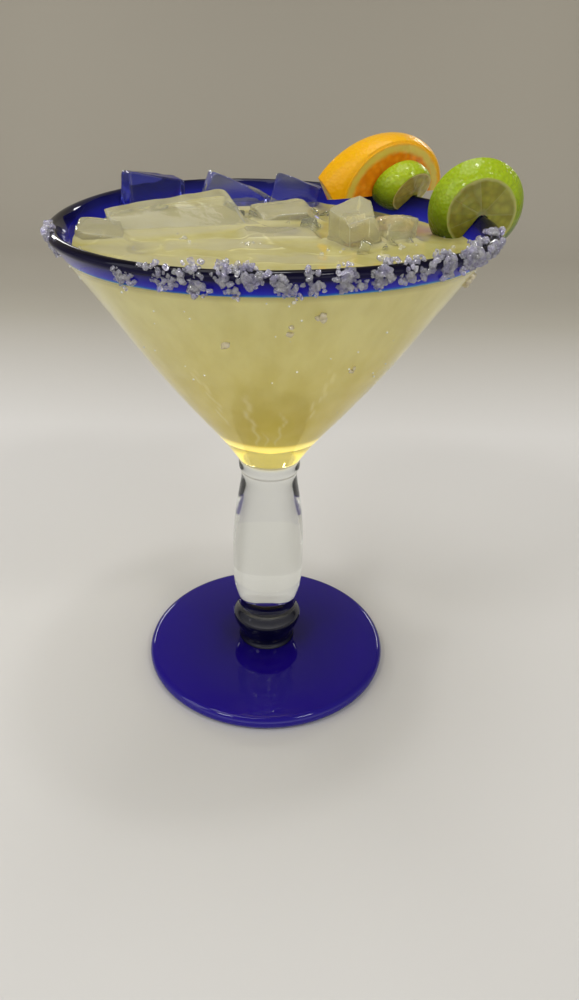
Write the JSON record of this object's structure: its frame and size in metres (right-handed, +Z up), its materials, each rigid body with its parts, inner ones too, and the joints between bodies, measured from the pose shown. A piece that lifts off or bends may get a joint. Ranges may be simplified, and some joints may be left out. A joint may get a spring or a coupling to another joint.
{
  "type": "margarita cocktail",
  "caption": "Margarita on ice in a hand-blown stemmed glass with a salted cobalt rim and cobalt foot, garnished with orange and lime slices.",
  "frame": {"origin": "centre of the flat underside of the foot", "axes": "+Z up along the stem; the front of the glass faces -Y, and the lime wheel hangs on the rim at +X"},
  "size_m": [0.157, 0.1489, 0.2052],
  "materials": {
    "cobalt_glass": "glossy blown cobalt glass",
    "clear_glass": "glossy blown clear glass",
    "salted_cobalt_glass": "glossy cobalt glass with white salt crystals",
    "drink": "cloudy yellow liquid with a glossy surface",
    "ice": "wet clear ice",
    "lime": "pored green rind and pale olive flesh",
    "orange": "pored yellow-orange rind and orange flesh"
  },
  "bodies": {
    "root": {"foot": "cobalt_glass", "bowl_and_stem": "clear_glass", "salted_rim": "salted_cobalt_glass", "drink": "drink", "ice_slab": "ice", "ice_plate_left": "ice", "ice_shard_tall": "ice", "ice_shard_back": "ice", "ice_chip_back": "ice", "ice_piece_middle": "ice", "ice_cube_front": "ice", "ice_cube_small": "ice", "ice_melted": "ice", "lime_wheel": "lime", "lime_slice": "lime", "orange_slice": "orange"}
  },
  "joints": []
}
